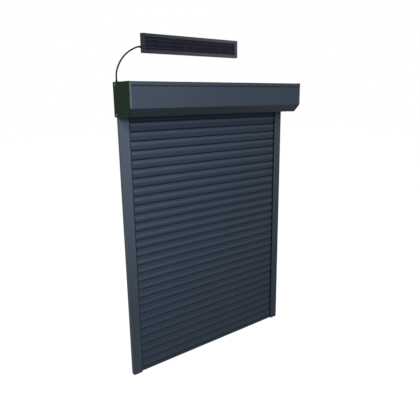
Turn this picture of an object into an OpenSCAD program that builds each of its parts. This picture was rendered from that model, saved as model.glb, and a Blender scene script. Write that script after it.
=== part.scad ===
// Exterior roller shutter with a solar drive: box, guide rails, interlocking slats, winding tube and panel.
// Millimetres, +Z up. The wall is the plane Y = 0 and the front faces -Y.
// The origin is on the wall, at the centre of the guide rails' corner fixing holes.

/* [Box] */
// Overall width over the two end plates
shutter_w = 950; // [800:10:1400]
// Height of the box
box_h = 137; // [132:1:165]
// Depth of the box from the wall to its front
box_d = 137; // [132:1:165]
// Height and depth of the 45 degree chamfer under the front
box_chamfer = 35; // [20:1:45]
// Height of the rear shell's lip at the top of the front
lip_h = 16; // [10:1:25]
// Open seam between the lip and the front cover
seam_h = 3; // [2:0.5:5]
// Depth of the seam behind the front
seam_d = 3.2; // [2:0.1:5]
// Height of the cover's tongue behind the lip
tongue_h = 9; // [5:1:10]
// Thickness of the box sheet
sheet_t = 1.2; // [0.8:0.1:1.6]
// Radius of the bends in the box sheet
bend_r = 2.4; // [2:0.1:4]
// Opening under the box for the curtain, measured from the wall
curtain_slot = 36; // [34:1:50]
// Height of the cover's turned-up rear hem
hem_h = 8; // [4:1:12]

/* [End plates] */
// Thickness of an end plate at its rim
end_plate_t = 7; // [6:0.5:10]
// Thickness of an end plate's wall
plate_wall = 4; // [3.5:0.5:5]
// Width of an end plate's rim
rim_w = 5; // [4:0.5:8]
// How far the box sheet sits inside the end plate's outline
sheet_inset = 0.8; // [0.4:0.1:1.5]
// Radius of the end plate's corners
plate_corner_r = 2; // [1:0.5:4]
// Radius of the toe between the box's chamfer and its bottom
toe_r = 8; // [4:0.5:9]
// Length of a locating tab along the plate
tab_len = 60; // [40:5:80]
// Reach of a locating tab into the box
tab_reach = 10; // [8:1:15]
// Thickness of a locating tab
tab_t = 2.5; // [2:0.5:4]
// Radius of the seat for the drive and the bearing
seat_r = 24; // [20:1:28]
// Height of the end screws above the bottom and below the top
screw_inset_z = 10; // [9:0.5:14]
// Distance of the end screws from the wall
screw_inset_y = 17; // [16:0.5:20]
// Distance of the cover screws from the tube's axis
cover_screw_y = 16; // [10:1:25]

/* [Guide rails] */
// Length of a guide rail with its foot cap
guide_len = 1170; // [900:10:2000]
// Width of a guide rail
guide_w = 44; // [42:1:60]
// Depth of a guide rail from the wall
guide_d = 20; // [20:1:28]
// Distance of a guide rail from the end of the box
guide_inset = 9; // [8:0.5:12]
// Wall of a guide rail
guide_t = 1.4; // [1.2:0.1:2]
// Radius of a guide rail's edges
rail_edge_r = 1; // [0.5:0.1:1.2]
// Clear depth of the slat channel
channel_depth = 23; // [22:0.5:26]
// Width of the channel's mouth
mouth_w = 13; // [12.5:0.5:15]
// Thickness of the channel's lips
channel_lip_t = 1.5; // [1:0.1:2]
// Width of a pile strip's base
strip_w = 4.6; // [4:0.1:6]
// Thickness of a pile strip's base
strip_t = 1; // [0.8:0.1:1.2]
// Width of the pile
pile_w = 3; // [2:0.1:3.5]
// Thickness of the fin that wraps a channel's lip
fin_t = 0.8; // [0.6:0.1:1]
// Diameter of a fixing hole
fix_d = 5.5; // [4.5:0.1:6.5]
// Diameter of the access hole in front of a fixing hole
access_d = 10; // [8:0.5:12]
// Distance of the end fixing holes from the rail's ends
fix_end = 105; // [80:5:200]
// Height of a foot cap
foot_h = 5; // [4:1:12]
// Radius of a foot cap's outer corner
foot_r = 3.5; // [2:0.5:4]
// Length of the plugs that enter the rail
plug_len = 25; // [15:1:40]

/* [Curtain] */
// Pitch of the slats
slat_pitch = 39; // [37:1:45]
// Thickness of a slat
slat_t = 9; // [8.5:0.1:9.5]
// Bulge of a slat's front
slat_crown = 2.6; // [2:0.1:3]
// Hollow of a slat's back
slat_hollow = 0.6; // [0.3:0.1:0.8]
// Radius of a slat's front edges
slat_edge_r = 2.5; // [1.5:0.1:3]
// Gap between two closed slats
slat_gap = 0.4; // [0.3:0.1:1]
// Height of the shadow groove over a slat's front
groove_h = 2.6; // [1.5:0.1:3.5]
// Radius of the hook bead on a slat's upper edge
bead_r = 1.8; // [1.6:0.1:1.9]
// Thickness of the hook's neck
neck_t = 1.2; // [1:0.1:1.4]
// Clearance of a bead in its socket
bead_fit = 0.3; // [0.2:0.05:0.4]
// Play of a bead along its socket, which opens the light slots
slot_play = 3.5; // [2:0.5:5]
// Thickness of the lips that hold the bead
socket_lip = 1; // [0.8:0.1:1.5]
// How far the slats reach into the guide rails
slat_reach = 18; // [15:0.5:19]
// Thickness of a slat's end clip
clip_t = 2; // [1.5:0.1:2.5]
// Height of the bottom bar's lower rail
bar_rail_h = 13; // [10:1:20]
// Height of the bottom seal
seal_h = 5; // [4:0.5:8]
// Width of the seal's root
seal_root = 2.4; // [2:0.1:3]

/* [Tube and drive] */
// Width across flats of the octagonal tube
tube_af = 40; // [40:1:50]
// Wall of the tube
tube_wall = 0.8; // [0.6:0.1:1]
// Distance of the tube's ends from the outer faces of the end plates
tube_end = 33; // [32:1:40]
// Radius of the flanges that close the tube's ends
flange_r = 23.5; // [23.5:0.5:28]
// Thickness of those flanges
flange_t = 4; // [3:0.5:5]
// Length of the plugs in the tube's ends
tube_plug = 18; // [14:1:30]
// Diameter of the drive's casing
motor_d = 35; // [32:0.5:35]
// Length of the drive's casing
motor_len = 430; // [300:10:480]
// Thickness of the drive's head
head_t = 20; // [18:1:20]
// Diameter of the drive's output shaft
output_d = 10; // [8:1:14]
// Length of the output shaft inside the casing
output_len = 8; // [6:1:15]
// Length of the drive wheel
wheel_len = 20; // [15:1:30]
// Diameter of the idler spindle
spindle_d = 12; // [10:1:14]
// Running clearance of a turning fit, on the radius
run_fit = 0.05; // [0.03:0.01:0.08]
// Spacing of the straps
strap_pitch = 300; // [200:10:350]
// Width of a strap
strap_w = 22; // [15:1:30]
// Thickness of a strap
strap_t = 0.8; // [0.5:0.1:1]
// Straight length of a strap above its foot
strap_leg = 8; // [7:0.5:12]
// Radius of a strap's bends
strap_bend = 6; // [4:0.5:7]
// Diameter of the battery tube
battery_d = 19; // [17:0.5:19]
// Length of the battery tube
battery_len = 345; // [200:5:400]
// Distance of the battery tube from the end of the box
battery_end = 45; // [40:1:80]
// Distance of the battery's clips from its ends
battery_clip_in = 60; // [30:5:90]

/* [Solar panel] */
// Width of the panel
panel_w = 505; // [400:5:600]
// Height of the panel
panel_h = 76; // [70:1:100]
// Depth of the panel's frame
panel_d = 17; // [15:0.5:20]
// Radius of the frame's corners
panel_corner_r = 1.5; // [1:0.5:4]
// Visible border of the frame
panel_border = 13; // [8:0.5:16]
// Thickness of the panel's glass
glass_t = 3.2; // [3:0.1:4]
// Gap between the panel's back and the wall
panel_off = 5; // [4:0.5:10]
// Gap between the box and the panel
panel_gap = 114; // [80:1:200]
// Distance of the panel's centre from the middle of the shutter
panel_shift = -92; // [-150:1:0]
// Number of cells in the panel
cell_n = 12; // [8:1:16]
// Gap between two cells
cell_gap = 1.5; // [1:0.1:3]
// Spacing of the panel's wall clips
clip_pitch = 300; // [200:10:320]
// Diameter of a wall clip's screw hole
clip_hole_d = 4.5; // [4:0.1:5.5]
// Diameter of the solar cable
cable_d = 6.5; // [4:0.1:7]

/* [Hidden] */
$fn = 48;
fit = 0.2;
part_gap = 0.3;
cut = 1;
axis_turn = 22.5;

// Places on the box
left_x = -shutter_w / 2;
rim_x = left_x + end_plate_t;
wall_x = left_x + plate_wall;
box_z = guide_len / 2;
box_top = box_z + box_h;
axis_y = -box_d / 2;
axis_z = box_z + box_h / 2;
front_y = -box_d + sheet_inset;
top_z = box_top - sheet_inset;
back_in_y = -sheet_inset - sheet_t;
sheet_x = rim_x + fit;
end_screw_z = [box_z + screw_inset_z, box_top - screw_inset_z];

// Places on the left guide rail
guide_x0 = left_x + guide_inset;
guide_x1 = guide_x0 + guide_w;
channel_x = guide_x1 - channel_depth;
chamber_x0 = guide_x0 + guide_t;
chamber_x1 = channel_x - guide_t;
fix_x = (chamber_x0 + chamber_x1) / 2;
fix_z = [-guide_len / 2 + fix_end, 0, guide_len / 2 - fix_end];
rail_z = -guide_len / 2 + foot_h;
curtain_forward = 0.5;
curtain_y = -guide_d / 2 - curtain_forward;
strip_x = guide_x1 - channel_lip_t - fit - strip_w;
strip_rib = 1.2;
strip_rib_h = 1.6;

// Slat profile, drawn with its lower joint line at height 0
slat_front = -slat_t / 2;
front_r = (pow(slat_pitch / 2, 2) + pow(slat_crown, 2)) / (2 * slat_crown);
back_r = (pow(slat_pitch / 2, 2) + pow(slat_hollow, 2)) / (2 * slat_hollow);
slat_top = slat_pitch - slat_gap;
face_top = slat_top - groove_h;
bead_p = slat_crown / 2;
groove_p = bead_p - neck_t / 2 - 0.6;
socket_r = bead_r + bead_fit;
socket_z0 = socket_lip + socket_r;
socket_z1 = socket_z0 + slot_play;
bead_z = slat_pitch + socket_z1;
neck_slot = neck_t + 2 * bead_fit + 0.2;
slat_x = -guide_x1 + slat_reach;
bar_h = slat_pitch + bar_rail_h + seal_h;
bar_z = -guide_len / 2 + bar_h;
slat_n = ceil((guide_len - bar_h) / slat_pitch);
curtain_top = bar_z + slat_n * slat_pitch;
seal_slot_h = 6;

// Tube and drive, along the tube's axis
tube_x0 = left_x + tube_end;
tube_x1 = -tube_x0;
tube_in = tube_af - 2 * tube_wall;
plug_af = tube_in - 2 * fit;
hub_r = motor_d / 2 + 0.5;
head_x = rim_x + head_t;
hub_end = tube_x0 + tube_plug;
casing_end = hub_end + motor_len;
wheel_x = casing_end + 1;
idler_hub_len = 15;
bearing_x = -rim_x;
battery_x = left_x + battery_end;
battery_y = front_y + seam_d + sheet_t + part_gap + battery_d / 2 + 2;
battery_z = top_z - sheet_t - fit - battery_d / 2 - 2;
battery_clip_t = 1.5;
battery_clip_w = 12;

// Panel
panel_x0 = panel_shift - panel_w / 2;
panel_z0 = box_top + panel_gap;
panel_zc = panel_z0 + panel_h / 2;
panel_back = -panel_off;
panel_front = panel_back - panel_d;
cell_t = 0.4;
tray_wall = 3;
tray_floor = 1.8;
floor_y = panel_front + glass_t + cell_t + 0.8 + tray_floor;
gland_y = -12;
gland_z = panel_zc - 15;
gland_len = 10;
gland_r = 5.5;
gland_nut = 2.8;
cable_r = cable_d / 2;
grommet_x = left_x + 14;
grommet_y = -8;
grommet_rise = 6.8;
grommet_top = top_z + grommet_rise;

// The cable's bow from the box's grommet up to the panel's gland, as shares of its span in X, Y and Z
cable_bow = [
    [0, 0, 0], [0, 0, 0.045], [0, 0, 0.09], [0.006, 0, 0.185], [0.03, 0, 0.28], [0.072, 0, 0.37], [0.125, 0, 0.46],
    [0.188, 0.05, 0.545], [0.264, 0.15, 0.63], [0.357, 0.3, 0.715], [0.467, 0.5, 0.795], [0.592, 0.75, 0.867],
    [0.73, 0.95, 0.928], [0.86, 1, 0.974], [0.93, 1, 0.9925], [1, 1, 1]
];
cable_start = [grommet_x, grommet_y, grommet_top];
cable_end = [panel_x0 - gland_len, gland_y, gland_z];
cable_span = cable_end - cable_start;
function along_span(b) = [b.x * cable_span.x, b.y * cable_span.y, b.z * cable_span.z];
cable_route = [for (b = cable_bow) cable_start + along_span(b)];
cable_sides = 10;

// Finishes
anthracite = "#4a525b";
plate_green = "#2b362e";
rail_grey = "#555f6b";
slat_grey = "#464f58";
black = "#17181a";
steel = "#9aa0a5";
white_plastic = "#d9d9d4";

function slat_name(i) = str("slat_", i < 10 ? "0" : "", i);
function unit(v) = v / norm(v);
function left_of(d) = [-d.y, d.x];
function reversed(list) = [for (i = [len(list) - 1:-1:0]) list[i]];

// Points of the fillet of radius r at corner q between p and s, or the corner itself
function fillet(p, q, s, r, n = 4) = r == 0 ? [q] :
    let (u = unit(p - q), v = unit(s - q), half = acos(u * v) / 2)
    let (c = q + unit(u + v) * r / sin(half), a = q + u * r / tan(half) - c, b = q + v * r / tan(half) - c)
    let (a0 = atan2(a.y, a.x), turn = (atan2(b.y, b.x) - a0 + 540) % 360 - 180)
    [for (i = [0:n]) c + r * [cos(a0 + turn * i / n), sin(a0 + turn * i / n)]];

// An open path with a fillet at each inner point, and a closed loop with one at every corner
function rounded_path(path, radii) = concat([path[0]],
    [for (i = [1:len(path) - 2]) each fillet(path[i - 1], path[i], path[i + 1], radii[i - 1])],
    [path[len(path) - 1]]);
function rounded_loop(loop, r) = let (n = len(loop))
    [for (i = [0:n - 1]) each fillet(loop[(i + n - 1) % n], loop[i], loop[(i + 1) % n], is_list(r) ? r[i] : r)];

// A path moved to its left by t, with mitred corners
function moved_path(path, t) = let (last = len(path) - 1) [for (i = [0:last])
    let (n0 = left_of(unit(path[max(i, 1)] - path[max(i, 1) - 1])))
    let (n1 = left_of(unit(path[min(i, last - 1) + 1] - path[min(i, last - 1)])))
    let (m = unit(n0 + n1)) path[i] + m * t / (m * n0)];

// A bent sheet whose outer face follows the path and whose thickness is on the path's left
module sheet(path, t) {
    polygon(concat(path, reversed(moved_path(path, t))));
}

// Outline of the box in Y and Z, moved inwards by d
function box_loop(d) = let (k = box_chamfer + d * (sqrt(2) - 1)) [
    [-d, box_z + d], [-d, box_top - d], [-box_d + d, box_top - d],
    [-box_d + d, box_z + k], [-box_d + k, box_z + d]
];

// Outlines in Y and Z drawn out along X, in X and Z along Y, and in X and Y along Z
module along_x(x0, x1) {
    translate([x0, 0, 0]) rotate([90, 0, 90]) linear_extrude(x1 - x0) children();
}
module along_y(y0, y1) {
    translate([0, y1, 0]) rotate([90, 0, 0]) linear_extrude(y1 - y0) children();
}
module along_z(z0, z1) {
    translate([0, 0, z0]) linear_extrude(z1 - z0) children();
}

// A rod along X or along Y
module rod_x(x0, x1, r, y, z) {
    translate([x0, y, z]) rotate([0, 90, 0]) cylinder(r = r, h = x1 - x0);
}
module rod_y(y0, y1, r, x, z) {
    translate([x, y1, z]) rotate([90, 0, 0]) cylinder(r = r, h = y1 - y0);
}

// An octagonal bar on the tube's axis
module octagon_x(x0, x1, across) {
    translate([x0, axis_y, axis_z]) rotate([0, 90, 0]) rotate(axis_turn)
        cylinder(r = across / 2 / cos(axis_turn), h = x1 - x0, $fn = 8);
}

// A profile of [radius, place] points turned about the tube's axis
module turned_x(profile) {
    translate([0, axis_y, axis_z]) rotate([0, 90, 0]) rotate_extrude() polygon(profile);
}

module rect(x0, x1, y0, y1) {
    translate([x0, y0]) square([x1 - x0, y1 - y0]);
}

// A piece of the left side and its mirror image on the right
module both_sides() {
    children();
    mirror([1, 0, 0]) children();
}

// Box

module shell_profile() {
    path = [
        [-sheet_inset, box_z], [-sheet_inset, top_z], [front_y, top_z],
        [front_y, box_top - lip_h], [front_y + seam_d - fit, box_top - lip_h]
    ];
    port = [-screw_inset_y, end_screw_z[1]];
    port_r = screw_r + 1.3;
    difference() {
        union() {
            sheet(rounded_path(path, [bend_r, bend_r, 0]), sheet_t);
            rect(port.x - sheet_t / 2, port.x + sheet_t / 2, port.y, top_z - sheet_t / 2);
            translate(port) circle(port_r);
        }
        translate(port) circle(screw_r + run_fit);
    }
}

module box_rear_shell() {
    color(anthracite) difference() {
        along_x(sheet_x, -sheet_x) shell_profile();
        translate([grommet_x, grommet_y, top_z - sheet_t - cut])
            cylinder(r = grommet_neck_r + fit, h = sheet_t + 2 * cut);
    }
}

module cover_profile() {
    k = box_chamfer + sheet_inset * (sqrt(2) - 1);
    bottom = box_z + sheet_inset;
    shoulder = box_top - lip_h - seam_h;
    path = [
        [front_y + seam_d, box_top - lip_h + tongue_h], [front_y + seam_d, shoulder], [front_y, shoulder],
        [front_y, box_z + k], [-box_d + k, bottom], [-curtain_slot, bottom], [-curtain_slot, bottom + hem_h]
    ];
    sheet(rounded_path(path, [0, 0, bend_r, toe_r - sheet_inset, bend_r]), sheet_t);
}

module box_front_cover() {
    color(anthracite) difference() {
        along_x(sheet_x, -sheet_x) cover_profile();
        both_sides() cover_screw_places() translate([0, 0, -cut])
            cylinder(r = screw_r + fit, h = sheet_t + 2 * cut);
    }
}

// Fasteners
screw_r = 1.5;
screw_head_r = 3.7;
screw_head_t = 1.8;
screw_len = 14;

// A pan-head screw whose head sits under height 0 and whose shank points up
module pan_screw() {
    rotate_extrude() polygon([
        [0, -screw_head_t], [screw_head_r * 0.6, -screw_head_t], [screw_head_r, -screw_head_t * 0.4],
        [screw_head_r, 0], [screw_r, 0], [screw_r, screw_len - screw_r], [0, screw_len]
    ]);
}

cover_screw_x = rim_x + tab_reach / 2;
module cover_screw_places() {
    for (side = [-1, 1])
        translate([cover_screw_x, axis_y + side * cover_screw_y, box_z + sheet_inset]) children();
}

// Places on the end plate's outer face, at the bottom of the screws' counterbores
counterbore = screw_head_t + fit;
module end_screw_places() {
    for (z = end_screw_z) translate([left_x + counterbore, -screw_inset_y, z]) rotate([0, 90, 0]) children();
}

module box_screws() {
    color(steel) both_sides() {
        end_screw_places() pan_screw();
        cover_screw_places() pan_screw();
    }
}

// End plates
plate_radii = [plate_corner_r, plate_corner_r, plate_corner_r, plate_corner_r, toe_r];

module end_plate() {
    tab_x = rim_x + tab_reach;
    tab_y = [axis_y - tab_len / 2, axis_y + tab_len / 2];
    tab_z = [axis_z - tab_len / 2, axis_z + tab_len / 2];
    tab_top = top_z - sheet_t - fit;
    tab_front = front_y + sheet_t + fit;
    tab_back = back_in_y - fit;
    ledge = box_z + sheet_inset + sheet_t + fit;
    front_tab_z = min(axis_z + tab_len / 2, box_top - lip_h - seam_h - sheet_t - fit);
    difference() {
        union() {
            along_x(left_x, wall_x) polygon(rounded_loop(box_loop(0), plate_radii));
            along_x(left_x, rim_x) difference() {
                polygon(rounded_loop(box_loop(0), plate_radii));
                polygon(box_loop(rim_w));
            }
            rod_x(left_x + plate_wall / 2, rim_x, seat_r, axis_y, axis_z);
            along_x(left_x + plate_wall / 2, tab_x) {
                rect(tab_y[0], tab_y[1], tab_top - tab_t, tab_top);
                rect(tab_y[0], tab_y[1], ledge, ledge + tab_t);
                rect(tab_back - tab_t, tab_back, tab_z[0], tab_z[1]);
                rect(tab_front, tab_front + tab_t, front_tab_z - tab_len / 2, front_tab_z);
            }
        }
        end_screw_places() {
            translate([0, 0, -counterbore - cut]) cylinder(r = screw_head_r + fit, h = counterbore + cut);
            translate([0, 0, -cut]) cylinder(r = screw_r + fit, h = end_plate_t + cut);
        }
        cover_screw_places() cylinder(r = screw_r + fit / 2, h = screw_len);
    }
}

module end_plate_left() {
    color(plate_green) end_plate();
}

module end_plate_right() {
    color(plate_green) mirror([1, 0, 0]) end_plate();
}

// Guide rails

module rail_outline() {
    polygon(rounded_loop([
        [guide_x0, -guide_d], [guide_x1, -guide_d], [guide_x1, 0], [guide_x0, 0]
    ], rail_edge_r));
}

// The slat channel with its mouth, and the pockets of the pile strips behind the lips
module channel_profile() {
    rect(channel_x, strip_x - fit - strip_rib, -guide_d + guide_t, -guide_t);
    rect(strip_x - fit, guide_x1 - channel_lip_t, -guide_d + guide_t, -guide_t);
    rect(channel_x, guide_x1 - channel_lip_t, -guide_d + guide_t + strip_rib_h, -guide_t - strip_rib_h);
    rect(channel_x, guide_x1 + cut, curtain_y - mouth_w / 2, curtain_y + mouth_w / 2);
}

module rail_profile() {
    difference() {
        rail_outline();
        rect(chamber_x0, chamber_x1, -guide_d + guide_t, -guide_t);
        channel_profile();
    }
}

module guide_rail() {
    difference() {
        along_z(rail_z, box_z) rail_profile();
        for (z = fix_z) {
            rod_y(-guide_t - cut, cut, fix_d / 2, fix_x, z);
            rod_y(-guide_d - cut, -guide_d + guide_t + cut, access_d / 2, fix_x, z);
        }
    }
}

module guide_rail_left() {
    color(rail_grey) guide_rail();
}

module guide_rail_right() {
    color(rail_grey) mirror([1, 0, 0]) guide_rail();
}

// One pile strip: a base on the channel's wall, the pile towards the slats, and a fin that wraps the lip
// and lies on the rail's inner side
module pile_strip(wall, tip) {
    toward = sign(tip - wall);
    base = wall + toward * strip_t;
    pile_x = strip_x + (strip_w - pile_w) / 2;
    fin_in = curtain_y - toward * (mouth_w / 2 - fit);
    fin_tip = fin_in + toward * fin_t;
    fin_out = wall + toward * (rail_edge_r - guide_t);
    along_z(rail_z, box_z) {
        rect(strip_x, strip_x + strip_w, min(wall, base), max(wall, base));
        rect(pile_x, pile_x + pile_w, min(wall, tip), max(wall, tip));
        rect(pile_x, guide_x1 + fin_t, min(fin_in, fin_tip), max(fin_in, fin_tip));
        rect(guide_x1, guide_x1 + fin_t, min(fin_out, fin_tip), max(fin_out, fin_tip));
    }
}

module guide_pile_strips() {
    reach = slat_t / 2 + part_gap;
    color(black) both_sides() {
        pile_strip(-guide_d + guide_t, curtain_y - reach);
        pile_strip(-guide_t, curtain_y + reach);
    }
}

// The plug section that enters a rail's outer chamber
module chamber_plug(z0, z1) {
    along_z(z0, z1) rect(chamber_x0 + fit, chamber_x1 - fit, -guide_d + guide_t + fit, -guide_t - fit);
}

// Inlet of the curtain at the top of a rail: rail plug, screw block and two flared lips
module guide_entry() {
    entry_h = 2 * screw_inset_z;
    overhang = 4;
    flare = 12;
    lip_t = 2.2;
    lip_foot = 7;
    front_lip = curtain_y - mouth_w / 2;
    back_lip = curtain_y + slat_t / 2 + 1.2;
    block_back = back_in_y - fit;
    clear_rim = box_z + rim_w + fit;
    difference() {
        union() {
            chamber_plug(box_z - plug_len, box_z + cut);
            along_x(rim_x, chamber_x1) rect(-guide_d - overhang, block_back, box_z, box_z + entry_h);
            along_x(wall_x, rim_x + cut) rect(-guide_d - overhang, -guide_d / 2, clear_rim, box_z + entry_h);
            along_x(chamber_x1 - cut, guide_x1) {
                polygon([
                    [front_lip, box_z], [front_lip, box_z + lip_foot],
                    [front_lip - flare, box_z + entry_h], [front_lip - flare - lip_t, box_z + entry_h],
                    [front_lip - lip_t, box_z + lip_foot], [front_lip - lip_t, box_z]
                ]);
                rect(back_lip, block_back, box_z, box_z + entry_h);
            }
        }
        end_screw_places() translate([0, 0, -counterbore])
            cylinder(r = screw_r + fit / 2, h = screw_len + counterbore + cut);
    }
}

module guide_entries() {
    color(black) both_sides() guide_entry();
}

module guide_foot_caps() {
    color(black) both_sides() {
        intersection() {
            along_z(-guide_len / 2, rail_z) difference() {
                rail_outline();
                channel_profile();
            }
            along_y(-guide_d, 0) polygon(rounded_path([
                [guide_x1, -guide_len / 2], [guide_x0, -guide_len / 2], [guide_x0, rail_z], [guide_x1, rail_z]
            ], [foot_r, 0]));
        }
        chamber_plug(rail_z, rail_z + plug_len);
    }
}

// Snap-in caps flush with the rail's front, each with a bead behind the wall
module guide_hole_caps() {
    cap_r = access_d / 2 - fit / 2;
    bead = access_d / 2 + 0.5;
    behind = guide_t + fit;
    color(rail_grey) both_sides() for (z = fix_z)
        translate([fix_x, -guide_d, z]) rotate([-90, 0, 0]) rotate_extrude() polygon([
            [0, 0], [cap_r, 0], [cap_r, behind], [bead, behind], [bead, behind + 0.6],
            [cap_r - 0.6, behind + 2], [0, behind + 2]
        ]);
}

// Curtain

// Centre of the fillet at height q that touches the front's arc, and the lean of the line through both centres
function edge_lean(q) = asin((q - slat_pitch / 2) / (front_r - slat_edge_r));
function edge_centre(q) = [slat_front + front_r - (front_r - slat_edge_r) * cos(edge_lean(q)), q];

// The part of a corner that the fillet at height q takes away, up or down
module edge_waste(q, up) {
    far = 3 * slat_edge_r;
    c = edge_centre(q);
    polygon([c, c + [-far, far * tan(edge_lean(q))], c + [-far, up * far], c + [0, up * far]]);
}

// Solid section of a slat: bulged front with rounded edges, hollow back and a step for the shadow groove
module slat_body() {
    mid = slat_pitch / 2;
    low = edge_centre(slat_edge_r);
    high = edge_centre(face_top - slat_edge_r);
    difference() {
        intersection() {
            translate([slat_front + front_r, mid]) circle(front_r, $fn = 360);
            rect(slat_front - cut, slat_t / 2, 0, slat_top);
        }
        translate([slat_t / 2 + back_r - slat_hollow, mid]) circle(back_r, $fn = 720);
        edge_waste(low.y, -1);
        edge_waste(high.y, 1);
        rect(slat_front - cut, groove_p, face_top, slat_top + cut);
    }
    intersection() {
        translate(low) circle(slat_edge_r);
        rect(low.x - 2 * slat_edge_r, low.x + slat_edge_r, 0, slat_pitch);
    }
    translate(high) circle(slat_edge_r);
}

// The hook on a slat's upper edge
module slat_hook() {
    rect(bead_p - neck_t / 2, bead_p + neck_t / 2, slat_top - cut, bead_z);
    translate([bead_p, bead_z]) circle(bead_r);
}

// The socket that takes the hook of the slat below
module slat_socket() {
    rect(bead_p - neck_slot / 2, bead_p + neck_slot / 2, -cut, socket_z0);
    translate([bead_p, socket_z0]) circle(socket_r);
    rect(bead_p - socket_r, bead_p + socket_r, socket_z0, socket_z1);
    translate([bead_p, socket_z1]) circle(socket_r);
}

module slat_profile() {
    difference() {
        slat_body();
        slat_socket();
    }
    slat_hook();
}

// Height of the lower joint line of slat i, counted from the top
function slat_z(i) = curtain_top - i * slat_pitch;

module slat(i) {
    color(slat_grey) translate([0, curtain_y, slat_z(i)]) along_x(-slat_x, slat_x) slat_profile();
}

// End clips close every second slat and keep the curtain from wandering sideways
module slat_end_clips() {
    color(black) both_sides() for (i = [1:2:slat_n])
        translate([0, curtain_y, slat_z(i)]) along_x(-slat_x - clip_t, -slat_x) slat_body();
}

module bar_profile() {
    rail_top = -slat_pitch;
    rail_low = rail_top - bar_rail_h;
    translate([0, -slat_pitch]) {
        slat_body();
        slat_hook();
    }
    difference() {
        union() {
            polygon(rounded_loop([
                [slat_front, rail_low], [slat_t / 2, rail_low], [slat_t / 2, rail_top + slat_gap],
                [slat_front, rail_top + slat_gap]
            ], 1.5));
            rect(bead_p, slat_t / 2, rail_top - cut, rail_top + slat_edge_r);
        }
        rect(-seal_root / 2 - fit, seal_root / 2 + fit, rail_low - cut, rail_low + seal_slot_h);
    }
}

module bottom_bar() {
    color(slat_grey) translate([0, curtain_y, bar_z]) along_x(-slat_x, slat_x) bar_profile();
}

module bottom_seal() {
    rail_low = -slat_pitch - bar_rail_h;
    bulb_r = seal_h / 2;
    color(black) translate([0, curtain_y, bar_z]) along_x(-slat_x, slat_x) {
        rect(-seal_root / 2, seal_root / 2, rail_low - cut, rail_low + seal_slot_h - fit);
        rect(-slat_t / 2 + 0.5, slat_t / 2 - 0.5, rail_low - cut, rail_low);
        translate([0, rail_low - seal_h + bulb_r]) circle(bulb_r);
    }
}

// Sprung straps between the tube's rear flat and the top slat's hook
module strap_profile() {
    tube_y = axis_y + tube_af / 2 + part_gap + strap_t;
    flat_half = tube_af / 2 * tan(axis_turn);
    foot_y = curtain_y + bead_p - strap_t / 2;
    foot_top = curtain_top + socket_z1 + socket_r + 2;
    path = [
        [foot_y + strap_t, foot_top - cut], [foot_y + strap_t, foot_top + strap_leg],
        [tube_y, axis_z - flat_half], [tube_y, axis_z + flat_half]
    ];
    sheet(rounded_path(path, [strap_bend, strap_bend]), strap_t);
    translate([curtain_y, curtain_top]) difference() {
        rect(bead_p - socket_r - 1.2, bead_p + socket_r + 1.2, slat_gap, foot_top - curtain_top);
        slat_socket();
    }
}

module curtain_straps() {
    color(steel) for (x = [-strap_pitch, 0, strap_pitch])
        along_x(x - strap_w / 2, x + strap_w / 2) strap_profile();
}

// Tube and drive

module axle_tube() {
    color(steel) difference() {
        octagon_x(tube_x0, tube_x1, tube_af);
        octagon_x(tube_x0 - cut, tube_x1 + cut, tube_in);
    }
}

module motor_head() {
    color(white_plastic) turned_x([
        [0, rim_x], [seat_r - 2, rim_x], [seat_r - 1, rim_x + 1], [seat_r - 1, head_x - 2],
        [seat_r - 3, head_x], [hub_r, head_x], [hub_r, hub_end], [0, hub_end]
    ]);
}

module motor_crown() {
    crown_x = tube_x0 - flange_t;
    color(black) difference() {
        union() {
            rod_x(crown_x, tube_x0, flange_r, axis_y, axis_z);
            octagon_x(tube_x0 - cut, hub_end - cut, plug_af);
        }
        rod_x(crown_x - cut, hub_end, hub_r + run_fit, axis_y, axis_z);
    }
}

module motor_body() {
    nose = 3;
    color(white_plastic) difference() {
        turned_x([
            [0, hub_end], [motor_d / 2, hub_end], [motor_d / 2, casing_end - nose],
            [motor_d / 2 - nose, casing_end], [0, casing_end]
        ]);
        rod_x(casing_end - output_len - cut, casing_end + cut, output_d / 2 + run_fit, axis_y, axis_z);
    }
}

module drive_wheel() {
    color(black) union() {
        octagon_x(wheel_x, wheel_x + wheel_len, plug_af);
        rod_x(casing_end - output_len, wheel_x + cut, output_d / 2, axis_y, axis_z);
    }
}

module idler_plug() {
    spindle_end = bearing_x - 2;
    color(black) union() {
        octagon_x(tube_x1 - tube_plug, tube_x1 + cut, plug_af);
        rod_x(tube_x1, tube_x1 + flange_t, flange_r, axis_y, axis_z);
        rod_x(tube_x1, spindle_end, spindle_d / 2, axis_y, axis_z);
    }
}

module idler_bearing() {
    flange = 3;
    hub = spindle_d / 2 + 5;
    color(white_plastic) difference() {
        union() {
            rod_x(bearing_x - flange, bearing_x, seat_r - 5, axis_y, axis_z);
            rod_x(bearing_x - idler_hub_len, bearing_x - flange + cut, hub, axis_y, axis_z);
        }
        rod_x(bearing_x - idler_hub_len - cut, bearing_x + cut, spindle_d / 2 + run_fit, axis_y, axis_z);
    }
}

module battery_pack() {
    cap = 8;
    r = battery_d / 2;
    color(black) translate([battery_x, battery_y, battery_z]) rotate([0, 90, 0]) rotate_extrude() polygon([
        [0, 0], [r - 1, 0], [r, 1], [r, cap], [r - 0.6, cap + 0.6], [r - 0.6, battery_len - cap - 0.6],
        [r, battery_len - cap], [r, battery_len - 1], [r - 1, battery_len], [0, battery_len]
    ]);
}

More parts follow.
